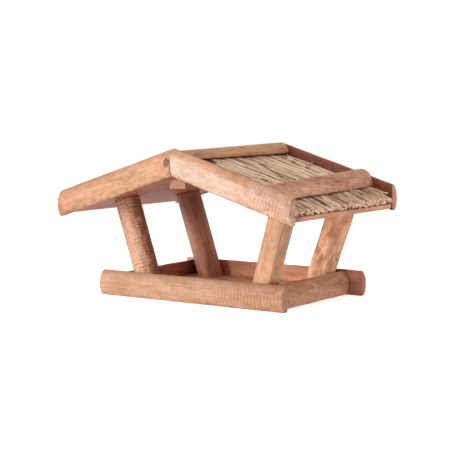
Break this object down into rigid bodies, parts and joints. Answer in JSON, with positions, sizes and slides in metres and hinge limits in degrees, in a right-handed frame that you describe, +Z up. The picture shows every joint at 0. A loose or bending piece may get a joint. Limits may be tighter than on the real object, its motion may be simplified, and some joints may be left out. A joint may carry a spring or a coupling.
{
  "type": "bird feeder",
  "caption": "Rustic wooden bird table head: half-round log tray, leaning log posts and a low gable roof thatched with reed, for setting on a pole or a flat surface.",
  "frame": {"origin": "middle of the underside of the floor board, at the mouth of its central bolt hole; z = 0 is also the underside of the tray rails", "axes": "+X along the long front rail towards the right-hand end, +Y from front to back, +Z up"},
  "size_m": [0.5725, 0.3894, 0.3026],
  "materials": {
    "stained_log": "peeled log, red-brown stain, satin",
    "sawn_board": "sawn board, red-brown stain, matt",
    "reed_thatch": "dry reed, grey-brown straw colour, matt",
    "nail_steel": "dull steel, browned by the stain"
  },
  "bodies": {
    "root": {"tray_front_rail": "stained_log", "tray_back_rail": "stained_log", "tray_left_rail": "stained_log", "tray_right_rail": "stained_log", "post_front_left": "stained_log", "post_front_right": "stained_log", "post_back_left": "stained_log", "post_back_right": "stained_log", "verge_front_left": "stained_log", "verge_front_right": "stained_log", "verge_back_left": "stained_log", "verge_back_right": "stained_log", "ridge_cap": "stained_log", "thatch_batten_left": "stained_log", "thatch_batten_right": "stained_log", "floor_board": "sawn_board", "roof_board_left": "sawn_board", "roof_board_right": "sawn_board", "ridge_beam": "sawn_board", "thatch_left": "reed_thatch", "thatch_right": "reed_thatch", "tray_corner_nails": "nail_steel", "floor_nails": "nail_steel", "post_foot_nails": "nail_steel", "post_head_nails": "nail_steel", "ridge_beam_nails": "nail_steel", "verge_nails": "nail_steel", "ridge_cap_nails": "nail_steel", "batten_nails": "nail_steel"}
  },
  "joints": []
}
